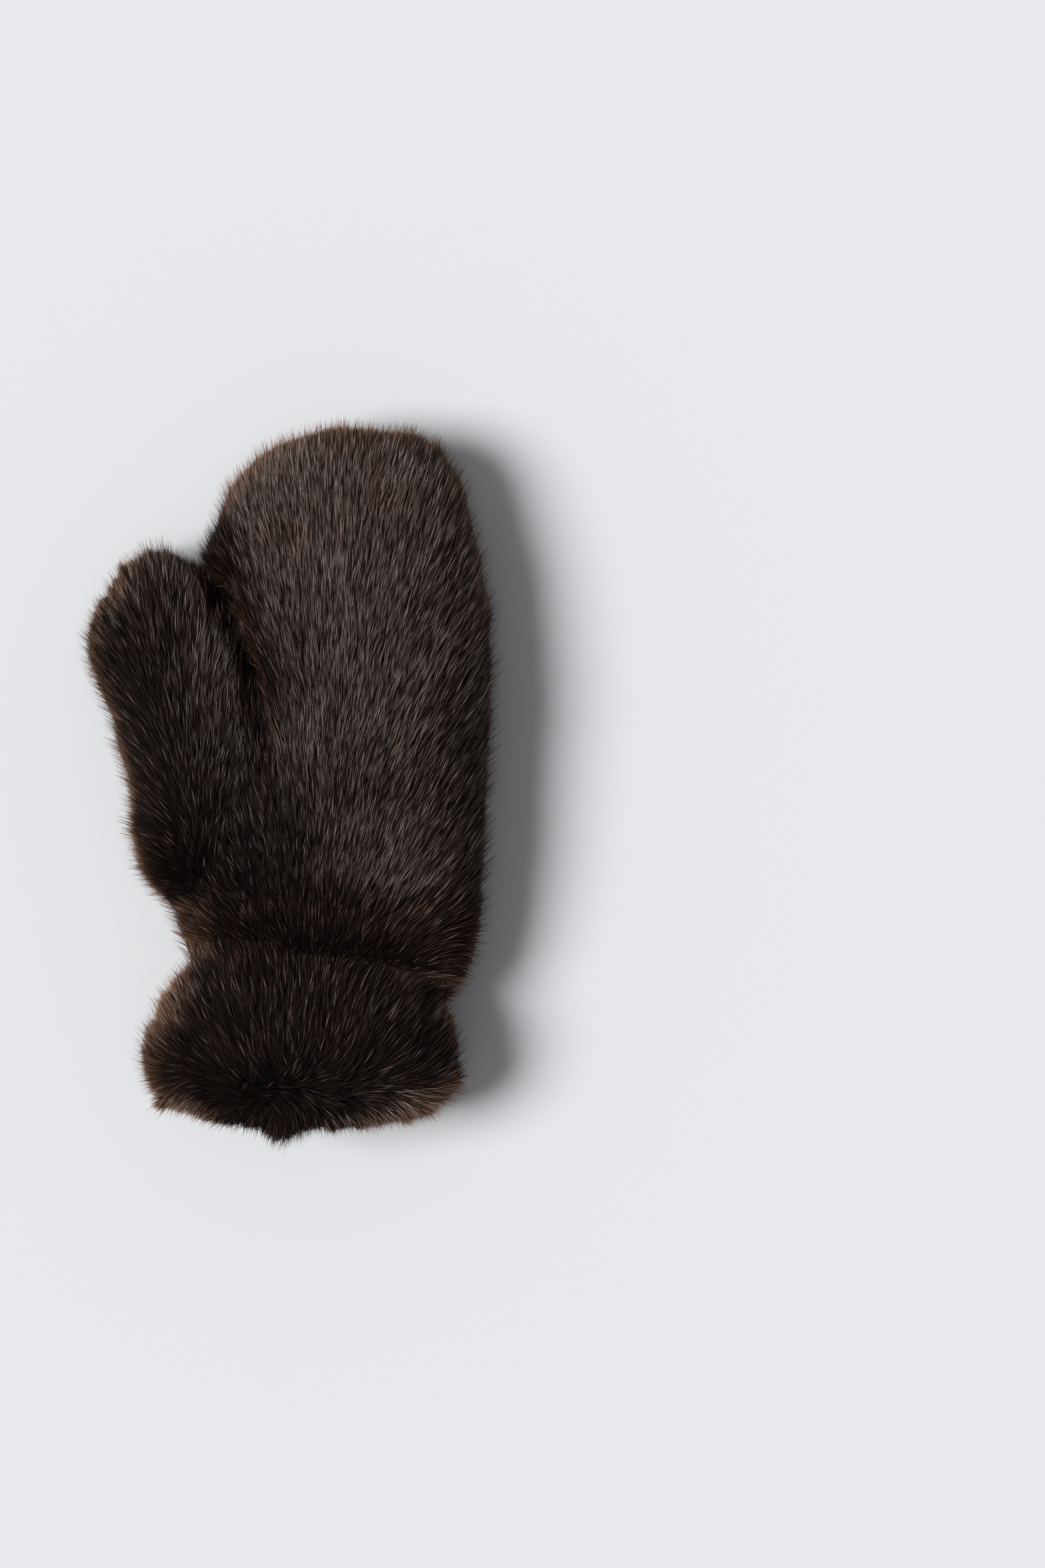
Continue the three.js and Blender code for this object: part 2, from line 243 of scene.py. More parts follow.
# The thumb: fanned out to its sides, and to the left at its root
THUMB_FAN_LEFT = 0.95
THUMB_FAN_RIGHT = 0.5
THUMB_HALF_WIDTH = 25.0
LEFTWARD_WAY = np.array((-0.95, 0.3))
LEFTWARD_ALONG = (66.0, 12.0)
LEFTWARD_ACROSS = (6.0, -16.0)
LEFTWARD_STAND = 0.3

# The cuff: its parting's level and tilt, the height and size of its swells, and its turn outwards
PARTING = -37.0
PARTING_REACH = 15.0
PARTING_MIDDLE = -8.0
PARTING_TILT = 0.05
PARTING_SWELL = 5.0
PARTING_SWELL_SIZE = 34.0
PARTING_LOOSE = 12.0
PARTING_OUT = 0.8
PARTING_STAND = 0.3
CUFF_FAN = 0.9
CUFF_HALF_WIDTH = 55.0


def blend(first, second, share):
    return first * (1 - share)[:, None] + second * share[:, None]


def near_fold(p):
    """Nearness to the fold below the thumb's root, where hairs stand on end, and the way out of it."""
    start, end = FOLD_ENDS
    line = end - start
    share = np.clip((p[:, :2] - start) @ line / (line @ line), 0, 1)
    away = p[:, :2] - (start + share[:, None] * line)
    near = smooth(FOLD_REACH * FOLD_EDGE, FOLD_REACH * FOLD_CORE, np.linalg.norm(away, axis=1))
    return near, away / FOLD_REACH


def hand_nap(p):
    x, y = p[:, 0], p[:, 1]
    way = np.stack((HAND_FAN * x / HAND_HALF_WIDTH, np.ones_like(x)), axis=1)
    heel = unit(p[:, :2] - HEEL_CENTRE)
    way = blend(way, heel, smooth(*HEEL_LEVELS, y))
    way = blend(way, HEEL_RIGHT_WAY, smooth(*HEEL_RIGHT_X, x) * smooth(*HEEL_RIGHT_Y, y))
    near, away = near_fold(p)
    way = blend(way, away, FOLD_TURN * near)
    return way, FOLD_STAND * near


def on_thumb(p):
    """How far along and across the thumb each point lies, in millimetres."""
    local = p[:, :2] - THUMB_BASE
    return local @ THUMB_AXIS, local @ THUMB_SIDE


def thumb_nap(p):
    along, across = on_thumb(p)
    fan = np.where(across < 0, THUMB_FAN_LEFT, THUMB_FAN_RIGHT) * across / THUMB_HALF_WIDTH
    way = THUMB_AXIS + fan[:, None] * THUMB_SIDE
    leftward = smooth(*LEFTWARD_ALONG, along) * smooth(*LEFTWARD_ACROSS, across)
    way = blend(way, LEFTWARD_WAY, leftward)
    near, away = near_fold(p)
    way = blend(way, away, FOLD_TURN * near)
    return way, np.maximum(FOLD_STAND * near, LEFTWARD_STAND * leftward)


def cuff_nap(p):
    """Up above the parting and down below it, turning outwards between."""
    x, y = p[:, 0], p[:, 1]
    swell = PARTING_SWELL * waves(p, PARTING_SWELL_SIZE, SEED + 7)
    down = smooth(PARTING_REACH, -PARTING_REACH, y - PARTING - PARTING_TILT * x - swell)
    side = np.sign(x - PARTING_MIDDLE + rng.normal(0, PARTING_LOOSE, len(p)))
    turn = math.pi * down
    fan = CUFF_FAN * x / CUFF_HALF_WIDTH
    way = np.stack((fan + PARTING_OUT * side * np.sin(turn), np.cos(turn)), axis=1)
    return way, PARTING_STAND * np.sin(turn)


# The crease between the hand and the cuff, and the band of painted shade beside the thumb: y, middle x and
# half width, in millimetres from the wrist
CREASE_LINE = np.array((
    (-47.0, 3.0), (-31.0, 8.0), (-14.0, 8.0), (-3.0, 4.5), (22.0, 3.5), (35.0, 0.0), (48.0, -4.0),
))
SHADE_BAND = np.array((
    (48.0, -19.0, 4.0), (70.0, -22.0, 4.0), (90.0, -24.7, 4.8), (104.0, -29.6, 7.0), (125.0, -36.6, 9.5),
    (137.0, -42.3, 10.0), (155.0, -46.0, 8.0),
))
SHADE_START = (42.0, 68.0)
SHADE_END = (176.0, 150.0)

# The rim, by how far the fur faces up, and the fur that faces up enough to be seen from above
RIM_TOP = (0.85, 0.3)
RIM_FOOT = (-0.8, 0.2)
FACES_UP = (-0.4, 0.1)

# Tone and warmth of the hairs, from 0 to 1: each part of the fur has its amount here and its place below
# Painted shade darkens the fur over the wrist, at the thumb's root, on the right side and low on the right,
# fur seen from the side and partly painted light shining through it
# under the valley and in its band; painted sheen lightens the patch; the rims are lighter, partly the
# browner
HAND_TONES = {
    "all": 0.52, "upper half": 0.05, "rim": 0.12, "shade above the wrist": -0.38, "thumb's root": -0.12,
    "right side": -0.13, "shade at lower right": -0.14, "shade below the valley": -0.16, "lower middle": -0.07,
    "patch": 0.04, "valley": -0.52,
}
# Warmer in the painted shade over the wrist and in the valley's band; warmer rims, partly the browner fur
# seen
# from the side and partly painted light shining through it, most on the left, which faces the light
HAND_WARMTHS = {
    "all": 0.22, "fingertips": 0.2, "rim": 0.5, "lit left rim": 0.45, "wrist": 0.42, "right half": 0.1,
    "valley": 0.35,
}
# Painted shade darkens the root and the valley's band; painted light lightens and warms the rim, which is
# only
# on the left, facing the light
THUMB_TONES = {
    "all": 0.37, "tip": 0.05, "lit outer rim": 0.33, "root": -0.33, "left side": -0.17, "valley": -0.36,
    "right side": 0.08,
}
THUMB_WARMTHS = {
    "all": 0.38, "whole tip": 0.3, "rim": 0.78, "lowest root": 0.15, "left third": 0.2, "right third": -0.2,
}
# Painted light lightens the left end and upper left, which face the light; painted shade darkens the parting
# deep in the pile; the side rims are lighter, partly the browner fur seen from the side and partly painted
# light
# shining through it
CUFF_TONES = {
    "all": 0.13, "corners": 0.52, "side rims": 0.28, "hem": 0.08, "lit left end": 0.3, "lit upper left": 0.3,
    "upper edge": -0.02, "parting": -0.13, "patch": 0.05,
}
# Warmer rims, partly the browner fur seen from the side and partly painted light shining through it
CUFF_WARMTHS = {"all": 0.5, "rim and hem": 0.9, "left third": 0.3}

# Places that are darker or lighter than the fur round them: x, y, reach across, reach along, change of tone
HAND_PLACES = (
    # Painted shade on the slope into the valley, and the painted shadow that the thumb throws at its root
    (-40, 136, 10, 13, -0.36), (-24, 101, 10, 14, -0.36), (-24, 92, 6, 14, -0.16), (-36, 38, 10, 12, -0.32),
    (-14, 42, 16, 20, -0.24),
    # Painted shade on the fur over the wrist, and painted sheen on the light patch to its right
    (-5, 22, 13, 8, -0.2), (-2, 8, 22, 10, -0.4), (29, 30, 16, 12, 0.14),
    # The rim at the wrist's ends
    (52, 3, 8, 16, 0.2), (-45, -3, 12, 8, 0.2), (-28, 10, 8, 6, 0.1),
    # The right side, which turns from the light, and its rim
    (40, 92, 12, 30, -0.13), (52, 70, 14, 60, -0.07), (34, 170, 14, 24, -0.14), (36, 140, 8, 14, -0.08),
    (54, 146, 6, 18, 0.12),
    # The fingertips' edge
    (10, 188, 30, 8, -0.1),
)
THUMB_PLACES = (
    # The slopes to either side of its crown
    (-74, 106, 14, 30, -0.13), (-61, 112, 8, 22, -0.2), (-56, 80, 12, 16, -0.2), (-52, 154, 8, 10, -0.1),
    # The lit rim on its left
    (-65, 45, 7, 16, 0.36), (-76, 64, 7, 14, 0.28), (-54, 28, 7, 8, 0.24),
    # Painted shade in the fold at its root and on the slope into the valley
    (-42, 34, 12, 14, -0.32), (-30, 96, 6, 16, -0.32),
)
CUFF_PLACES = (
    # Painted shade under the crease and deep in the pile along the parting
    (-2, 1, 20, 8, -0.4), (4, -4, 24, 7, -0.2), (-28, -27, 10, 16, -0.34), (-12, -10, 14, 12, -0.24),
    (34, -24, 14, 14, -0.16), (-4, -38, 22, 8, -0.1),
    # The lit hem and shoulders
    (33, -47, 24, 8, 0.6), (-38, -50, 14, 6, 0.3), (50, -6, 7, 12, 0.6), (-47, -12, 10, 14, 0.42),
)


def edge_of(out):
    """The rim that light shines through: most where the fur turns over, and none underneath."""
    return smooth(*RIM_TOP, out[:, 2]) * smooth(*RIM_FOOT, out[:, 2])


def above_crease(p):
    """How far each point lies above the crease between the hand and the cuff, in millimetres."""
    return p[:, 1] - np.interp(p[:, 0], CREASE_LINE[:, 0], CREASE_LINE[:, 1])


def in_shade(p):
    """The band of painted shade between the thumb and the hand, from 0 to 1."""
    y_stops, middles, widths = SHADE_BAND.T
    x, y = p[:, 0], p[:, 1]
    away = (x - np.interp(y, y_stops, middles)) / np.interp(y, y_stops, widths)
    return np.exp(-(away ** 2)) * smooth(*SHADE_START, y) * smooth(*SHADE_END, y)


def spot(p, x, y, reach_x, reach_y):
    """A round soft place, 1 in its middle."""
    return np.exp(-(((p[:, 0] - x) / reach_x) ** 2) - ((p[:, 1] - y) / reach_y) ** 2)


def weighed(amounts, parts):
    """The sum of the parts, each by its amount."""
    return sum(amount * parts[name] for name, amount in amounts.items())


def changes(p, out, places):
    """The changes of tone at those places, on the fur that faces up."""
    total = sum(change * spot(p, x, y, reach_x, reach_y) for x, y, reach_x, reach_y, change in places)
    return total * smooth(*FACES_UP, out[:, 2])


def hand_tone(p, out):
    x, y = p[:, 0], p[:, 1]
    edge = edge_of(out)
    wrist = smooth(39, 21, y)
    # Painted shade over the wrist, by the thumb's root, on the right and by the valley; painted sheen on the
    # patch
    parts = {
        "all": 1,
        "rim": edge,
        "lit left rim": edge * smooth(45, 0, x),
        "upper half": smooth(100, 170, y),
        "fingertips": smooth(120, 190, y),
        "lower middle": smooth(100, 70, y) * smooth(20, 50, y),
        "right half": smooth(10, 50, x),
        "right side": smooth(20, 55, x) * smooth(170, 120, y),
        "shade at lower right": smooth(34, 52, x) * smooth(70, 30, y),
        "shade below the valley": smooth(-6, -24, x) * smooth(84, 66, y) * smooth(-38, -26, x),
        "valley": in_shade(p),
        "thumb's root": spot(p, -9, 40, 9, 14),
        "patch": spot(p, 16, 46, 16, 12),
        "wrist": wrist,
        "shade above the wrist": wrist * smooth(-38, -26, x) * (1 - edge),
    }
    return weighed(HAND_TONES, parts) + changes(p, out, HAND_PLACES), weighed(HAND_WARMTHS, parts)


def thumb_tone(p, out):
    along, across = on_thumb(p)
    edge = edge_of(out) * smooth(10, -5, across)
    # The rim is only on the left, where painted light falls; the root and the valley's band carry painted
    # shade
    parts = {
        "all": 1,
        "rim": edge,
        "lit outer rim": edge * edge,
        "tip": smooth(88, 112, along),
        "whole tip": smooth(80, 112, along),
        "root": smooth(58, 10, along) * (1 - edge),
        "lowest root": smooth(45, 5, along),
        "left side": smooth(2, -12, across) * smooth(104, 88, along) * (1 - edge),
        "left third": smooth(0, -14, across),
        "right side": smooth(-6, 14, across) * smooth(20, 60, along),
        "right third": smooth(-6, 14, across),
        "valley": in_shade(p),
    }
    return weighed(THUMB_TONES, parts) + changes(p, out, THUMB_PLACES), weighed(THUMB_WARMTHS, parts)


def cuff_tone(p, out):
    x, y = p[:, 0], p[:, 1]
    side_rim = edge_of(out) * smooth(30, 52, np.abs(x))
    hem = smooth(-42, -53, y)
    upper_edge = smooth(-12, -3, above_crease(p))
    # Painted light on the left end and upper left, painted shade along the parting, and partly painted light
    # on the rims
    parts = {
        "all": 1,
        "side rims": side_rim,
        "hem": hem,
        "rim and hem": np.maximum(side_rim, hem),
        "corners": smooth(-36, -46, y - 0.2 * np.maximum(x, 0)) * smooth(18, 36, np.abs(x + 2)),
        "lit left end": smooth(-36, -54, x),
        "left third": smooth(-30, -52, x),
        "upper edge": upper_edge,
        "lit upper left": upper_edge * smooth(-16, -36, x),
        "parting": smooth(-26, -36, y) * smooth(38, 24, np.abs(x)),
        "patch": spot(p, 8, -22, 18, 10),
    }
    return weighed(CUFF_TONES, parts) + changes(p, out, CUFF_PLACES), weighed(CUFF_WARMTHS, parts)


# How long the hairs are, as shares, and how far they draw together into tufts

def even_length(p):
    return np.ones(len(p))


def thumb_length(p):
    """Longer at the middle of the tip, and shorter at its right."""
    along, across = on_thumb(p)
    crown = 0.6 * np.exp(-(((across - 1) / 8) ** 2))
    return 1 + smooth(92, 110, along) * (crown - 0.25 * smooth(10, 18, across))


def cuff_length(p):
    """Shorter at the hem, but for the tuft at its middle."""
    x, y = p[:, 0], p[:, 1]
    hem = smooth(-38, -46, y)
    return 1 - 0.25 * hem + 0.4 * hem * np.exp(-((x + 6) / 5) ** 2)


def no_tufts(p):
    return np.zeros(len(p))


def thumb_tufts(p):
    along, _ = on_thumb(p)
    return smooth(86, 104, along)


def hem_tufts(p):
    return 0.5 * smooth(-42, -52, p[:, 1]) * smooth(46, 30, np.abs(p[:, 0]))


# The underfur: one soft form of all the pieces, so that no seam shows, dealt out to them afterwards

NODES = ("palm_panel", "back_panel", "thumb", "cuff")
SIDEWAYS = (Vector((1, 0, 0)), Vector((-1, 0, 0)), Vector((0, 0, 1)), Vector((0, 0, -1)))


def tree_of(nodes):
    """A ray-casting tree round some CAD pieces."""
    points, faces = [], []
    for node in nodes:
        start = len(points)
        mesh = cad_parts[node].data
        points.extend(vertex.co.copy() for vertex in mesh.vertices)
        faces.extend([start + i for i in polygon.vertices] for polygon in mesh.polygons)
    return BVHTree.FromPolygons(points, faces)


SOLID = tree_of(NODES)


def is_inside(centre, normal):
    """Says whether a face looks into the hollow: the solids close it in on every side."""
    start = centre + normal * RAY_START
    return all(SOLID.ray_cast(start, way, RAY_REACH)[0] is not None for way in SIDEWAYS)


def voxel_form():
    """The points and four-cornered faces of all the CAD pieces remeshed as one."""
    points, faces = [], []
    for node in NODES:
        start = len(points)
        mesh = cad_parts[node].data
        points.extend(tuple(vertex.co) for vertex in mesh.vertices)
        faces.extend([start + i for i in polygon.vertices] for polygon in mesh.polygons)
    together = bpy.data.meshes.new("together")
    together.from_pydata(points, [], faces)
    piece = bpy.data.objects.new("together", together)
    bpy.context.scene.collection.objects.link(piece)
    remesh = piece.modifiers.new("even", "REMESH")
    remesh.mode = "VOXEL"
    remesh.voxel_size = VOXEL
    evaluated = piece.evaluated_get(bpy.context.evaluated_depsgraph_get())
    mesh = bpy.data.meshes.new_from_object(evaluated)
    even = np.empty(len(mesh.vertices) * 3)
    mesh.vertices.foreach_get("co", even)
    corners = np.empty(len(mesh.loops), dtype=np.int32)
    mesh.loops.foreach_get("vertex_index", corners)
    bpy.data.objects.remove(piece)
    bpy.data.meshes.remove(together)
    bpy.data.meshes.remove(mesh)
    return even.reshape(-1, 3), corners.reshape(-1, 4)


def largest_piece(points, faces):
    """Drops any crumb that the remesh left loose from the main form."""
    label = np.arange(len(points))
    settled = False
    while not settled:
        lowest = label[faces].min(axis=1)
        spread = label.copy()
        for i in range(4):
            np.minimum.at(spread, faces[:, i], lowest)
        spread = spread[spread]
        settled = np.array_equal(spread, label)
        label = spread
    main = np.bincount(label).argmax()
    used, renumbered = np.unique(faces[label[faces[:, 0]] == main], return_inverse=True)
    return points[used], renumbered.reshape(-1, 4)


def low_pass(faces, values, rounds):
    """Smooths values given at the points over the faces' edges."""
    pairs = np.concatenate([faces[:, [i, (i + 1) % 4]] for i in range(4)])
    ends = np.concatenate((pairs[:, 0], pairs[:, 1]))
    others = np.concatenate((pairs[:, 1], pairs[:, 0]))
    counts = np.bincount(ends, minlength=len(values))[:, None]
    for _ in range(rounds):
        sums = np.stack([np.bincount(ends, column[others], len(values)) for column in values.T], axis=1)
        values = values + SMOOTHING * (sums / counts - values)
    return values


def eased(faces, values, rounds):
    """Smooths values with half as much loss of the larger form."""
    soft = low_pass(faces, values, rounds)
    return soft + low_pass(faces, values - soft, rounds)


def relaxed(points, faces):
    """Takes the locks off down to the larger form, and keeps its creases, valleys and hem."""
    melted = eased(faces, points, RELAX_ROUNDS)
    outs, _ = normals_of(melted, faces)
    proud = np.maximum(((points - melted) * outs).sum(axis=1), 0)
    p = from_wrist(points)
    above_hem = p[:, 1] - np.interp(p[:, 0], HEM_LINE[:, 0], HEM_LINE[:, 1])
    hem = smooth(HEM_REACH, 0.4 * HEM_REACH, above_hem)[:, None]
    cut = points - outs * proud[:, None]
    calm = eased(faces, cut, CALM_ROUNDS)
    keep = np.maximum(in_shade(p), np.exp(-((above_crease(p) / CREASE_KEPT) ** 2)))[:, None]
    form = calm * (1 - keep) + low_pass(faces, cut, LAST_ROUNDS) * keep
    return form * (1 - hem) + melted * hem


def hemmed(points):
    """Brings the hem to its line, and gives the cuff round corners and a notch above its right end."""
    p = from_wrist(points)
    x, y = p[:, 0], p[:, 1]
    stops = np.arange(HEM_LINE[0, 0], HEM_LINE[-1, 0] + 1, HEM_STEP)
    lowest = np.array([y[np.abs(x - stop) < HEM_STEP].min() for stop in stops])
    lowest = np.interp(x, stops, lowest)
    wanted = np.interp(x, HEM_LINE[:, 0], HEM_LINE[:, 1])
    corner = np.sign(x) * smooth(*CORNER_ACROSS, np.abs(x)) * smooth(*CORNER_ALONG, y)
    shoulder = smooth(*SHOULDER_ACROSS, x) * smooth(*SHOULDER_TOP, y) * smooth(*SHOULDER_FOOT, y)
    notch = np.exp(-(((y - NOTCH_LEVEL) / NOTCH_REACH) ** 2)) * smooth(*NOTCH_ACROSS, x)
    points = points.copy()
    points[:, 1] += (wanted - lowest) * smooth(0, 1, (HEM_START - y) / (HEM_START - lowest)) * MM
    points[:, 0] += (CORNER_OUT * corner - SHOULDER_OUT * shoulder - NOTCH_DEPTH * notch) * MM
    return points


def pushed(points):
    """Moves the valley to the right, since the thumb's pile leans over it, and rounds the thumb's tip."""
    p = from_wrist(points)
    x, y, z = p.T
    line = np.interp(y, VALLEY_LINE[:, 1], VALLEY_LINE[:, 0])
    share = np.exp(-(((x - line) / VALLEY_SPREAD) ** 2))
    share = share * smooth(*VALLEY_START, y) * smooth(*VALLEY_END, y) * smooth(*VALLEY_HEIGHT, z)
    along, across = on_thumb(p)
    near_tip = smooth(*TIP_ALONG, along) * smooth(*TIP_ACROSS, across) * smooth(*TIP_HEIGHT, z)
    crown = TIP_RISE * np.exp(-(((across - TIP_MIDDLE) / TIP_SPREAD) ** 2))
    ahead = crown - TIP_DROP * smooth(*TIP_DROP_ACROSS, across)
    bulge = np.exp(-(((along - BULGE_MIDDLE) / BULGE_SPREAD) ** 2)) * smooth(*BULGE_ACROSS, across)
    points = points.copy()
    points[:, 0] += VALLEY_PUSH * MM * share
    points[:, :2] += (near_tip * ahead * MM)[:, None] * THUMB_AXIS
    points[:, :2] -= (TIP_BULGE * bulge * MM)[:, None] * THUMB_SIDE
    return points


def valleys_of(points, faces, normals):
    """How deep each point lies in a crease or valley, from 0 to 1."""
    even = low_pass(faces, points, VALLEY_ROUNDS)
    even = even + VALLEY_EVEN * low_pass(faces, points - even, VALLEY_ROUNDS)
    depth = smooth(*VALLEY_SUNK, ((even - points) * normals).sum(axis=1))
    return low_pass(faces, depth[:, None], VALLEY_BLUR)[:, 0]


def normals_of(points, faces):
    """Normals of the points and of the faces."""
    crossed = np.cross(points[faces[:, 2]] - points[faces[:, 0]], points[faces[:, 3]] - points[faces[:, 1]])
    sums = np.zeros_like(points)
    for i in range(4):
        np.add.at(sums, faces[:, i], crossed)
    return unit(sums), unit(crossed)


def hollow_faces(points, faces, face_normals):
    """Says which faces line the hollow, with no small spots of either kind."""
    middles = points[faces].mean(axis=1)
    lining = np.array([is_inside(Vector(m), Vector(n)) for m, n in zip(middles, face_normals)])
    counts = np.bincount(faces.ravel(), minlength=len(points))
    share = lining.astype(float)
    for _ in range(SPOT_ROUNDS):
        at_points = sum(np.bincount(faces[:, i], share, len(points)) for i in range(4)) / counts
        share = at_points[faces].mean(axis=1)
    return (share > 0.5) & (middles[:, 1] > CUFF[0].y + HEM_FUR)


def underfur_form():
    """The base that the strands stand on: the pieces, drawn in by the pile's depth where fur covers them."""
    points, faces = largest_piece(*voxel_form())
    _, face_normals = normals_of(points, faces)
    inside = hollow_faces(points, faces, face_normals)
    points = hemmed(pushed(relaxed(points, faces)))
    normals, _ = normals_of(points, faces)
    middles = points[faces].mean(axis=1)
    trees = [tree_of([node]) for node in NODES]
    gaps = np.array([[tree.find_nearest(Vector(middle))[3] for tree in trees] for middle in middles])
    owner = np.argmin(gaps, axis=1)
    furry = np.zeros(len(points))
    for i in range(4):
        np.add.at(furry, faces[:, i], (~inside).astype(float))
    furry /= np.bincount(faces.ravel(), minlength=len(points))
    p = from_wrist(points)
    valley = valleys_of(points, faces, normals) * furry * smooth(*VALLEY_FROM, p[:, 1])
    crease = np.exp(-(((above_crease(p) - CREASE_MIDDLE) / CREASE_REACH) ** 2))
    crease = crease * smooth(0, 0.5, normals[:, 2]) * smooth(*CREASE_HEIGHT, p[:, 2])
    lifted = np.clip(points[:, 2] / PILE_DEPTH, 0, 1)
    pressed = np.where(normals[:, 2] < -0.5, PRESSED_SHARE * lifted, 1)
    depth = (PILE_DEPTH + VALLEY_DEPTH * valley + CREASE_DEPTH * crease) * furry * pressed
    points = points - normals * depth[:, None]
    points[:, 2] = np.maximum(points[:, 2], FLOOR_GAP)
    normals, _ = normals_of(points, faces)
    return {
        "points": points, "normals": normals, "faces": faces, "inside": inside, "owner": owner,
        "valley": valley,
    }


FORM = underfur_form()


def underfur(node, name, fur_material, backing_material):
    """One piece's share of the underfur."""
    mine = FORM["owner"] == NODES.index(node)
    used, renumbered = np.unique(FORM["faces"][mine], return_inverse=True)
    mesh = bpy.data.meshes.new(name)
    mesh.from_pydata(FORM["points"][used].tolist(), [], renumbered.reshape(-1, 4).tolist())
    mesh.materials.append(fur_material)
    mesh.materials.append(backing_material)
    mesh.polygons.foreach_set("material_index", FORM["inside"][mine].astype(np.int32))
    mesh.polygons.foreach_set("use_smooth", np.ones(int(mine.sum()), dtype=bool))
    mesh.update()
    piece = bpy.data.objects.new(name, mesh)
    bpy.context.scene.collection.objects.link(piece)
    return piece


# Strands

def seed_roots(node, thickness_of, part_of):
    """Random roots on a piece's share of the underfur, with the normals there."""
    points, normals = FORM["points"], FORM["normals"]
    faces = FORM["faces"][(FORM["owner"] == NODES.index(node)) & ~FORM["inside"]]
    corners = np.concatenate((faces[:, [0, 1, 2]], faces[:, [0, 2, 3]]))
    edges = points[corners[:, 1:]] - points[corners[:, :1]]
    areas = np.linalg.norm(np.cross(edges[:, 0], edges[:, 1]), axis=1) / 2
    middles = points[corners].mean(axis=1)
    outs = unit(normals[corners].mean(axis=1))
    weights = areas / MM ** 2 * thickness_of(middles, outs) * part_of(from_wrist(middles))
    count = min(int(weights.sum()), MOST_STRANDS)
    chosen = np.searchsorted(np.cumsum(weights), rng.uniform(0, weights.sum(), count))
    a, b = rng.uniform(size=(2, count))
    over = a + b > 1
    a[over], b[over] = 1 - a[over], 1 - b[over]
    shares = np.stack((1 - a - b, a, b), axis=1)[:, :, None]
    roots = (points[corners[chosen]] * shares).sum(axis=1)
    valley = (FORM["valley"][corners[chosen]] * shares[:, :, 0]).sum(axis=1)
    return roots, unit((normals[corners[chosen]] * shares).sum(axis=1)), valley


def nearest_leaders(roots, spacing, area_each):
    """For each root, the index of the root that leads its clump."""
    count = max(4, int(len(roots) * area_each / spacing ** 2))
    leaders = rng.choice(len(roots), min(count, len(roots)), replace=False)
    tree = KDTree(len(leaders))
    for index in leaders:
        tree.insert(roots[index], int(index))
    tree.balance()
    return np.array([tree.find(root)[1] for root in roots])


def lean(angle, stand, steep, guard):
    """The strands' angle to the skin, in radians, from one of the two tables of angles."""
    total = angle["lying"] + angle["standing"] * stand + angle["steep"] * steep
    return np.radians(total + (angle["guard"] + angle["steep guard"] * steep) * guard)


def curves(roots, outs, way, stand, length, side_bend, guard):
    """The joints of each strand: it leaves the skin steeply and lies over along the nap."""
    nap = way - outs * (way * outs).sum(axis=1, keepdims=True)
    side = unit(np.cross(nap, outs))
    steep = smooth(0.55, 0.1, outs[:, 2])
    first = lean(ROOT_ANGLE, stand, steep, guard)
    last = lean(TIP_ANGLE, stand, steep, guard)
    place = roots.copy()
    joints = [place.copy()]
    shares = (np.arange(FINE_STEPS) + 0.5) / FINE_STEPS
    for step, share in enumerate(shares):
        angle = first + (last - first) * share ** ANGLE_CURVE
        ahead = outs * np.sin(angle)[:, None] + nap * np.cos(angle)[:, None]
        ahead = ahead + side * (side_bend * share)[:, None]
        place = place + unit(ahead) * (length / FINE_STEPS)[:, None]
        if np.any(np.abs(JOINTS - (step + 1) / FINE_STEPS) < 0.5 / FINE_STEPS):
            joints.append(place.copy())
    return np.stack(joints, axis=1)


def clump(joints, leaders, strength):
    """Draws the tips of the strands towards their leader's."""
    pull = strength[:, None, None] * (JOINTS ** FALL)[None, :, None]
    return joints + (joints[leaders] - joints) * pull


def ribbons(joints, outs, half_width, twist):
    """Five vertices for each strand: a pair at each of the first two joints, and the tip."""
    ahead = np.gradient(joints, axis=1)
    ahead /= np.maximum(np.linalg.norm(ahead, axis=2, keepdims=True), 1e-9)
    across = np.cross(ahead, outs[:, None, :])
    across /= np.maximum(np.linalg.norm(across, axis=2, keepdims=True), 1e-9)
    up = np.cross(across, ahead)
    across = across * np.cos(twist)[:, None, None] + up * np.sin(twist)[:, None, None]
    reach = across * (half_width[:, None] * TAPER[None, :])[:, :, None]
    vertices = np.empty((len(joints), STRAND_VERTICES, 3))
    vertices[:, 0:4:2] = joints[:, :2] - reach[:, :2]
    vertices[:, 1:4:2] = joints[:, :2] + reach[:, :2]
    vertices[:, 4] = joints[:, 2]
    return vertices


# Each strand has a four-cornered face and a tip: its corners' vertices, its faces' first corners, and where
# the corners lie along it, as joints, and across it, as shares
STRAND_VERTICES = 5
STRAND_CORNERS = np.array((0, 1, 3, 2, 2, 3, 4))
STRAND_STARTS = np.array((0, 4))
STRAND_ALONG = np.array((0, 0, 1, 1, 1, 1, 2))
STRAND_ACROSS = np.array((0, 1, 1, 0, 0, 1, 0.5))


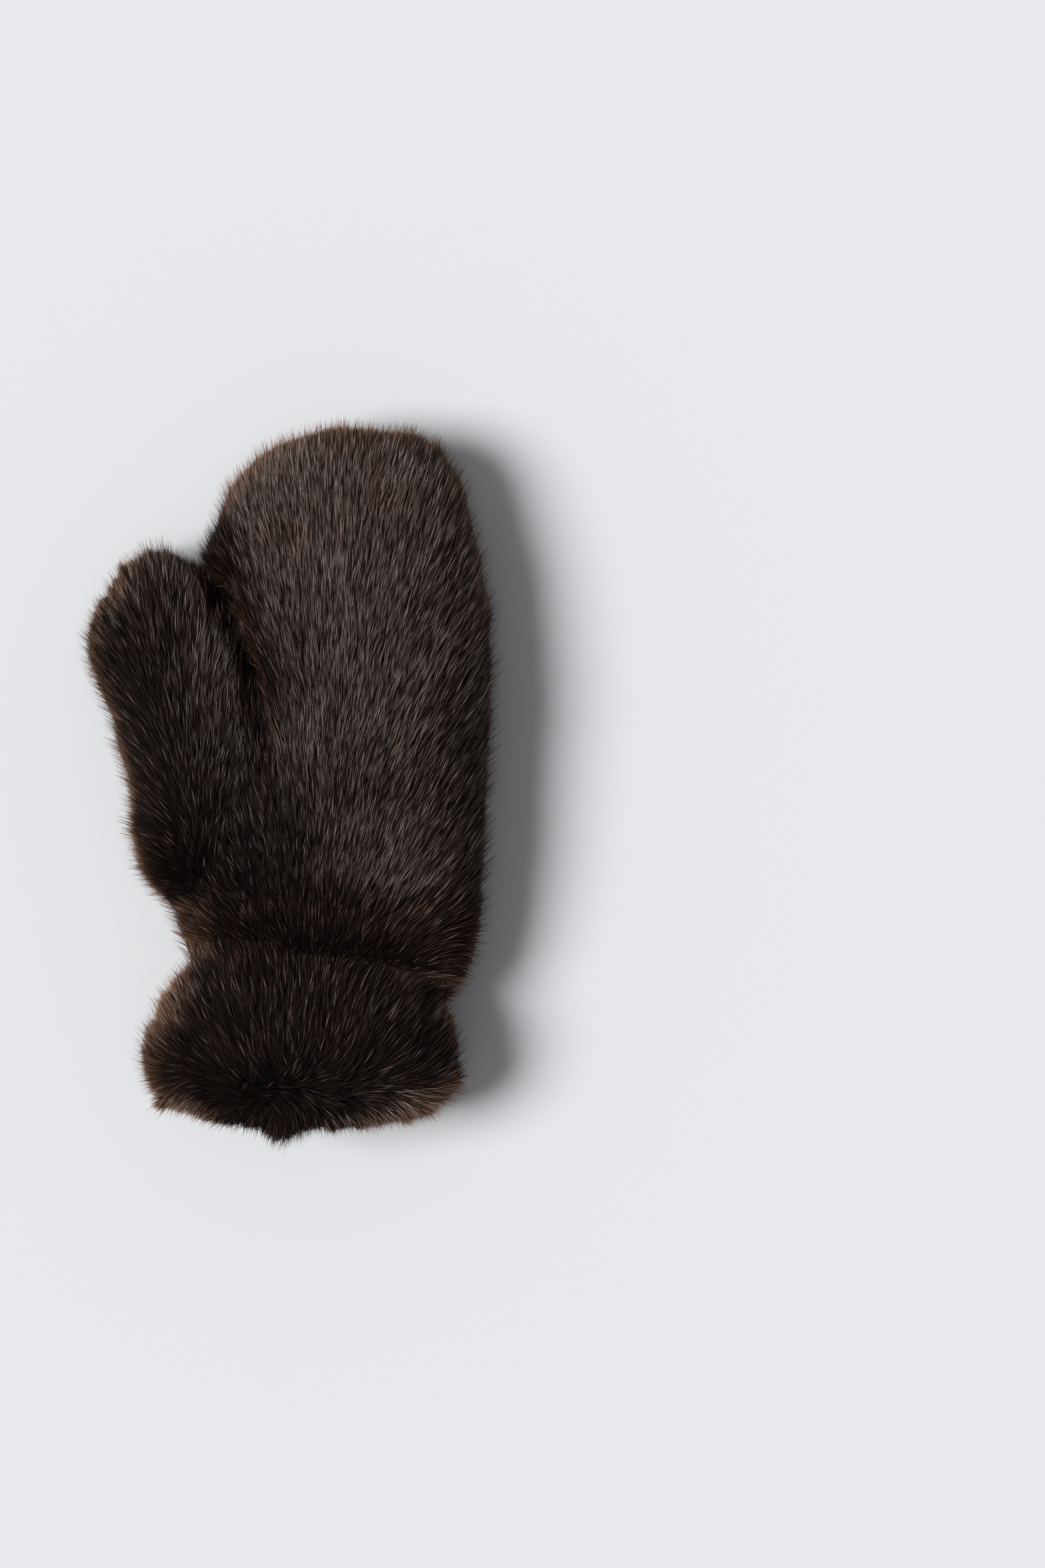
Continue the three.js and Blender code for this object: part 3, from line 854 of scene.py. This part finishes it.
def strand_mesh(name, vertices, column, material):
    """One mesh of all the ribbons, each unwrapped into the map's column for its tone and warmth."""
    count = len(vertices)
    mesh = bpy.data.meshes.new(name)
    mesh.vertices.add(count * STRAND_VERTICES)
    mesh.vertices.foreach_set("co", vertices.ravel())
    mesh.loops.add(count * len(STRAND_CORNERS))
    corners = (np.arange(count) * STRAND_VERTICES)[:, None] + STRAND_CORNERS
    mesh.loops.foreach_set("vertex_index", corners.ravel().astype(np.int32))
    mesh.polygons.add(count * len(STRAND_STARTS))
    starts = (np.arange(count) * len(STRAND_CORNERS))[:, None] + STRAND_STARTS
    mesh.polygons.foreach_set("loop_start", starts.ravel().astype(np.int32))
    mesh.update(calc_edges=True)
    mesh.polygons.foreach_set("use_smooth", np.ones(count * len(STRAND_STARTS), dtype=bool))
    bake = mesh.uv_layers.new(name=BAKE_MAP)
    across = (column[:, None] + COLUMN_MARGIN + (1 - 2 * COLUMN_MARGIN) * STRAND_ACROSS) / (TONES * WARMTHS)
    along = np.broadcast_to(ROW_MARGIN + (1 - 2 * ROW_MARGIN) * JOINTS[STRAND_ALONG], across.shape)
    bake.data.foreach_set("uv", np.stack((across, along), axis=2).ravel())
    mesh.materials.append(material)
    mesh.update()
    piece = bpy.data.objects.new(name, mesh)
    bpy.context.scene.collection.objects.link(piece)
    return piece


HEM_EXTRA = 0.8


def thickness_at(most, least):
    """Strands to the square millimetre: most where the fur shows, least where it is pressed flat below."""
    def thickness(points, outs):
        below = smooth(-0.3, -0.8, outs[:, 2]) * smooth(0.012, 0.005, points[:, 2])
        hem = smooth(-0.4, -0.8, outs[:, 1])
        return (most + (least - most) * below) * (1 + HEM_EXTRA * hem)
    return thickness


def swirled(way, p, stray):
    """Turns the nap a little, in broad and narrow swirls, and each hair by itself."""
    swirl = BROAD_SWIRL * waves(p, 26, SEED + 1) + NARROW_SWIRL * waves(p, 7, SEED + 2)
    swirl = swirl + rng.normal(0, stray, len(p))
    cos, sin = np.cos(swirl), np.sin(swirl)
    x, y, z = way.T
    return np.stack((x * cos - y * sin, x * sin + y * cos, z), axis=1)


def column_of(p, outs, tone_of, hairs, guard, rim, valley, tone_shift):
    """The map's column for each hair, by its tone and warmth."""
    count = len(p)
    tone, warmth = tone_of(p, outs)
    tone = tone + NARROW_TONES * waves(p, 8, SEED + 4) + BROAD_TONES * waves(p, 30, SEED + 5)
    # Painted shade in creases and valleys
    tone = tone + TONE_OFFSET + PAINTED_VALLEY_SHADE * valley
    tone = DARKEST + LIFT * np.logaddexp(0, (tone - DARKEST) / LIFT) + tone_shift
    tone = tone + rng.normal(0, hairs["tone_spread"], count)
    # Painted glints: the guard hairs are lighter
    tone = tone + guard * (GUARD_GLINT_TONE + rng.exponential(GUARD_GLINT_SPREAD, count))
    warmth = warmth + BROAD_WARMTHS * waves(p, 22, SEED + 6) + rng.normal(0, WARMTH_SPREAD, count)
    # Guard hairs greyer for their painted glints; rims warmer, for browner fur seen from the side and
    # painted light
    # shining through it
    warmth = warmth + SHORT_WARMTH * (1 - guard) + GUARD_GLINT_WARMTH * guard * (1 - rim) + RIM_WARMTH * rim
    tone_index = np.clip(np.rint(tone * (TONES - 1)), 0, TONES - 1)
    warmth_index = np.clip(np.rint(warmth * (WARMTHS - 1)), 0, WARMTHS - 1)
    return warmth_index * TONES + tone_index


def fur(node, name, material, nap_of, tone_of, thickness, part_of, hairs):
    """The pile on one part of a base."""
    roots, outs, valley = seed_roots(node, thickness, part_of)
    count = len(roots)
    p = from_wrist(roots)
    flat, stand = nap_of(p)
    way = np.concatenate((flat, np.zeros((count, 1))), axis=1)
    way /= np.maximum(np.linalg.norm(way, axis=1, keepdims=True), 0.8)
    way = swirled(way, p, hairs["stray"])
    rim = smooth(0.5, 0.1, outs[:, 2])
    guard = (rng.uniform(size=count) < hairs["guards"] * (1 - RIM_FEWER_GUARDS * rim)).astype(float)
    length = rng.uniform(*hairs["short"], count) * (1 - guard) + rng.uniform(*hairs["long"], count) * guard
    length *= MM * (1 + LENGTH_SWELL * waves(p, 14, SEED + 3))
    length *= hairs["length_at"](p) * (1 - VALLEY_SHORTER * valley)
    pressed = smooth(-0.2, -0.7, outs[:, 2]) * smooth(12, 4, p[:, 2])
    length *= (1 - PRESSED_SHORTER * pressed) * (1 - RIM_SHORTER * rim * (1 - guard))
    bend = rng.normal(0, SIDE_BEND, count)
    joints = curves(roots, outs, way, np.clip(stand, 0, 1), length, bend, guard)
    area_each = MM ** 2 / thickness(roots, outs).mean()
    tone_shift = np.zeros(count)
    for spacing, strength, tone_spread in hairs["clumps"]:
        leaders = nearest_leaders(roots, spacing * MM, area_each)
        pull = strength + TUFT_PULL * hairs["tufts_at"](p) * (spacing > TUFT_SPACING)
        joints = clump(joints, leaders, pull * rng.uniform(*LEADER_PULL, count) * (1 - GUARD_LOOSER * guard))
        tone_shift += rng.normal(0, tone_spread, count)[leaders]
    joints[:, :, 2] = np.maximum(joints[:, :, 2], FLOOR_GAP)
    half_width = rng.uniform(*hairs["width"], count) * (1 + GUARD_WIDER * guard * (1 - rim)) * MM / 2
    twist = rng.normal(0, TWIST, count)
    vertices = ribbons(joints, outs, half_width, twist)
    vertices[:, :, 2] = np.maximum(vertices[:, :, 2], FLOOR_GAP)
    column = column_of(p, outs, tone_of, hairs, guard, rim, valley, tone_shift)
    return strand_mesh(name, vertices, column, material)


# Materials

def new_material(name):
    material = bpy.data.materials.new(name)
    material.use_nodes = True
    nodes = material.node_tree.nodes
    nodes.clear()
    output = nodes.new("ShaderNodeOutputMaterial")
    shader = nodes.new("ShaderNodeBsdfPrincipled")
    material.node_tree.links.new(shader.outputs["BSDF"], output.inputs["Surface"])
    return material, nodes, material.node_tree.links, shader


def math_node(nodes, links, operation, first, second=None):
    node = nodes.new("ShaderNodeMath")
    node.operation = operation
    for socket, value in zip(node.inputs, (first, second)):
        if value is None:
            continue
        if isinstance(value, (int, float)):
            socket.default_value = value
        else:
            links.new(value, socket)
    return node.outputs[0]


def ramp_node(nodes, links, factor, stops):
    node = nodes.new("ShaderNodeValToRGB")
    ramp = node.color_ramp
    while len(ramp.elements) < len(stops):
        ramp.elements.new(0.5)
    for element, (place, colour) in zip(ramp.elements, stops):
        element.position = place
        element.color = (*colour, 1)
    links.new(factor, node.inputs["Fac"])
    return node.outputs["Color"]


def mix_node(nodes, links, blend, factor, first, second):
    node = nodes.new("ShaderNodeMix")
    node.data_type = "RGBA"
    node.blend_type = blend
    if isinstance(factor, (int, float)):
        node.inputs[0].default_value = factor
    else:
        links.new(factor, node.inputs[0])
    links.new(first, node.inputs[6])
    links.new(second, node.inputs[7])
    return node.outputs[2]


# Hair colours from the darkest tone to the lightest, whose palest cool ones stand for painted glints;
# painted shade from root to tip, with a painted highlight short of the tip; and the roughness by tone
COOL = ((0.0, (0.0036, 0.0017, 0.0012)), (0.35, (0.0180, 0.0112, 0.0090)), (0.6, (0.064, 0.0450, 0.0385)),
        (1.0, (0.31, 0.258, 0.238)))
WARM = ((0.0, (0.0058, 0.0018, 0.0009)), (0.35, (0.034, 0.0120, 0.0054)), (0.6, (0.110, 0.045, 0.0215)),
        (1.0, (0.33, 0.17, 0.092)))
ROOT_SHADE_AND_HIGHLIGHT = ((0.0, (0.10, 0.08, 0.07)), (0.45, (0.36, 0.32, 0.30)), (0.72, (1.0, 1.0, 1.0)),
         (1.0, (0.8, 0.8, 0.8)))
GLOSS = ((0.2, (0.85, 0.85, 0.85)), (0.8, (0.36, 0.36, 0.36)))


def hair_material(name):
    """Hair whose tone and warmth come from its column of the map, with painted shade towards the root and a
    painted highlight a little short of the tip.
    """
    material, nodes, links, shader = new_material(name)
    place = nodes.new("ShaderNodeUVMap")
    place.uv_map = BAKE_MAP
    split = nodes.new("ShaderNodeSeparateXYZ")
    links.new(place.outputs["UV"], split.inputs[0])
    stretched = math_node(nodes, links, "MULTIPLY", split.outputs[0], TONES * WARMTHS)
    column = math_node(nodes, links, "FLOOR", stretched)
    tone = math_node(nodes, links, "DIVIDE", math_node(nodes, links, "MODULO", column, TONES), TONES - 1)
    row = math_node(nodes, links, "FLOOR", math_node(nodes, links, "DIVIDE", column, TONES))
    warmth = math_node(nodes, links, "DIVIDE", row, WARMTHS - 1)
    cool = ramp_node(nodes, links, tone, COOL)
    warm = ramp_node(nodes, links, tone, WARM)
    hair = mix_node(nodes, links, "MIX", warmth, cool, warm)
    # Painted shade towards the root, and a painted highlight a little short of the tip
    root = ramp_node(nodes, links, split.outputs[1], ROOT_SHADE_AND_HIGHLIGHT)
    links.new(mix_node(nodes, links, "MULTIPLY", 1.0, hair, root), shader.inputs["Base Color"])
    links.new(ramp_node(nodes, links, tone, GLOSS), shader.inputs["Roughness"])
    shader.inputs["Specular IOR Level"].default_value = 0.22
    return material


# The wool's and the yarn's colours, and how fine their patterns are
WOOL = ((0.3, (0.006, 0.0034, 0.0026)), (0.7, (0.018, 0.0105, 0.0078)))
WOOL_SCALE = 420
YARN = ((0.0, (0.018, 0.014, 0.012)), (1.0, (0.062, 0.05, 0.044)))
RIBS = (("X", 520), ("Y", 640))


def underfur_material(name):
    """Short dense wool under the hairs, nearly black between them."""
    material, nodes, links, shader = new_material(name)
    place = nodes.new("ShaderNodeTexCoord")
    noise = nodes.new("ShaderNodeTexNoise")
    noise.inputs["Scale"].default_value = WOOL_SCALE
    noise.inputs["Detail"].default_value = 3
    links.new(place.outputs["Object"], noise.inputs["Vector"])
    links.new(ramp_node(nodes, links, noise.outputs["Fac"], WOOL), shader.inputs["Base Color"])
    bump = nodes.new("ShaderNodeBump")
    bump.inputs["Strength"].default_value = 0.5
    bump.inputs["Distance"].default_value = 0.001
    links.new(noise.outputs["Fac"], bump.inputs["Height"])
    links.new(bump.outputs["Normal"], shader.inputs["Normal"])
    shader.inputs["Roughness"].default_value = 0.9
    shader.inputs["Specular IOR Level"].default_value = 0.05
    return material


def backing_material():
    """The fur's knitted backing, seen only inside: fine ribs crossed by rows of stitches."""
    material, nodes, links, shader = new_material("knitted_backing")
    place = nodes.new("ShaderNodeTexCoord")
    heights = []
    for direction, pace in RIBS:
        wave = nodes.new("ShaderNodeTexWave")
        wave.bands_direction = direction
        wave.inputs["Scale"].default_value = pace
        wave.inputs["Distortion"].default_value = 0.6
        links.new(place.outputs["Object"], wave.inputs["Vector"])
        heights.append(wave.outputs["Fac"])
    knit = math_node(nodes, links, "MULTIPLY", *heights)
    links.new(ramp_node(nodes, links, knit, YARN), shader.inputs["Base Color"])
    bump = nodes.new("ShaderNodeBump")
    bump.inputs["Strength"].default_value = 0.6
    bump.inputs["Distance"].default_value = 0.0006
    links.new(knit, bump.inputs["Height"])
    links.new(bump.outputs["Normal"], shader.inputs["Normal"])
    shader.inputs["Roughness"].default_value = 0.85
    return material


# The mitten. The palm's pile is in two parts, left and right of a line, in millimetres from the wrist

PALM_SPLIT = 3.0


def everywhere(p):
    return np.ones(len(p))


def left_part(p):
    return (p[:, 0] < PALM_SPLIT).astype(float)


def right_part(p):
    return (p[:, 0] >= PALM_SPLIT).astype(float)


# Hairs: lengths and widths in millimetres, the share of long guard hairs, the stray turn in radians, and
# clumps by spacing in millimetres, pull and spread of tone
HAND_HAIRS = {
    "short": (6.0, 9.0), "long": (9.0, 12.0), "guards": 0.2, "width": (0.13, 0.21), "stray": 0.045,
    "clumps": ((4.0, 0.06, 0.025), (0.65, 0.2, 0.12)), "tone_spread": 0.11,
    "length_at": even_length, "tufts_at": no_tufts,
}
THUMB_HAIRS = {
    "short": (6.0, 9.0), "long": (9.0, 12.0), "guards": 0.18, "width": (0.13, 0.21), "stray": 0.07,
    "clumps": ((4.5, 0.16, 0.03), (0.7, 0.25, 0.12)), "tone_spread": 0.11,
    "length_at": thumb_length, "tufts_at": thumb_tufts,
}
CUFF_HAIRS = {
    "short": (6.0, 9.0), "long": (9.0, 12.0), "guards": 0.16, "width": (0.13, 0.21), "stray": 0.09,
    "clumps": ((5.0, 0.2, 0.03), (0.8, 0.28, 0.12)), "tone_spread": 0.1,
    "length_at": cuff_length, "tufts_at": hem_tufts,
}

BACKING = backing_material()

# Each node's names, nap, tone and hairs, the strands to the square millimetre, and the parts of its pile
SETS = (
    ("palm_panel", "palm", hand_nap, hand_tone, HAND_HAIRS, thickness_at(6.4, 1.5),
     (("palm_fur_left", left_part), ("palm_fur_right", right_part))),
    ("back_panel", "back", hand_nap, hand_tone, HAND_HAIRS, thickness_at(4.4, 0.8),
     (("back_fur", everywhere),)),
    ("thumb", "thumb", thumb_nap, thumb_tone, THUMB_HAIRS, thickness_at(6.0, 1.2),
     (("thumb_fur", everywhere),)),
    ("cuff", "cuff", cuff_nap, cuff_tone, CUFF_HAIRS, thickness_at(5.6, 1.2),
     (("cuff_fur", everywhere),)),
)

for node, short_name, nap_of, tone_of, hairs, thickness, parts in SETS:
    base = underfur(node, short_name + "_underfur", underfur_material(short_name + "_wool"), BACKING)
    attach(base, "root")
    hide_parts(node)
    hair = hair_material(short_name + "_hair")
    for name, part_of in parts:
        pile = fur(node, name, hair, nap_of, tone_of, thickness, part_of, hairs)
        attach(pile, "root")
        print(name, len(pile.data.polygons) // len(STRAND_STARTS), "strands")
    print(base.name, len(base.data.polygons), "faces")

# The pale floor

FLOOR_REACH = 3.0
FLOOR_CORNERS = ((-1, -1), (1, -1), (1, 1), (-1, 1))
floor_mesh = bpy.data.meshes.new("floor")
floor_mesh.from_pydata([(FLOOR_REACH * x, FLOOR_REACH * y, 0) for x, y in FLOOR_CORNERS], [], [(0, 1, 2, 3)])
floor = bpy.data.objects.new("floor", floor_mesh)
bpy.context.scene.collection.objects.link(floor)
floor_material, _, _, floor_shader = new_material("pale_floor")
floor_shader.inputs["Base Color"].default_value = (0.79, 0.80, 0.82, 1)
floor_shader.inputs["Roughness"].default_value = 0.9
floor_shader.inputs["Specular IOR Level"].default_value = 0.1
floor_mesh.materials.append(floor_material)

# Soft light from all round and a broad one from the left

scene = bpy.context.scene
world = bpy.data.worlds.new("studio")
scene.world = world
world.use_nodes = True
SKY_STRENGTH = 0.23
sky = world.node_tree.nodes["Background"]
sky.inputs["Color"].default_value = (0.97, 0.98, 1.0, 1)
sky.inputs["Strength"].default_value = SKY_STRENGTH

SUN_ELEVATION = math.radians(48)
SUN_AZIMUTH = math.radians(188)
SUN_STRENGTH = 3.35
SUN_SPREAD = math.radians(30)
sun_data = bpy.data.lights.new("broad_light", "SUN")
sun_data.energy = SUN_STRENGTH
sun_data.angle = SUN_SPREAD
sun = bpy.data.objects.new("broad_light", sun_data)
toward_sun = Vector((
    math.cos(SUN_ELEVATION) * math.cos(SUN_AZIMUTH),
    math.cos(SUN_ELEVATION) * math.sin(SUN_AZIMUTH),
    math.sin(SUN_ELEVATION),
))
sun.rotation_euler = toward_sun.to_track_quat("Z", "Y").to_euler()
scene.collection.objects.link(sun)

# The camera looks straight down, turned as the mitten lies in the photograph. The frame's centre is in
# millimetres from the wrist, and its height in metres at the level of the fur

VIEW_CENTRE = Vector((69.6, 76.3, 0)) * MM
VIEW_LEVEL = 25 * MM
VIEW_HEIGHT = 1.5
FRAME_HEIGHT = 0.5645
SENSOR = 36
FAR_CLIP = 20
VIEW_TURN = math.radians(4.5)
camera_data = bpy.data.cameras.new("view")
camera_data.sensor_width = SENSOR
camera_data.lens = SENSOR * (VIEW_HEIGHT - VIEW_LEVEL) / FRAME_HEIGHT
camera_data.clip_end = FAR_CLIP
camera = bpy.data.objects.new("view", camera_data)
camera.location = WRIST + VIEW_CENTRE + Vector((0, 0, VIEW_HEIGHT))
camera.rotation_euler = (0, 0, VIEW_TURN)
scene.collection.objects.link(camera)
scene.camera = camera
scene.view_settings.view_transform = "Standard"
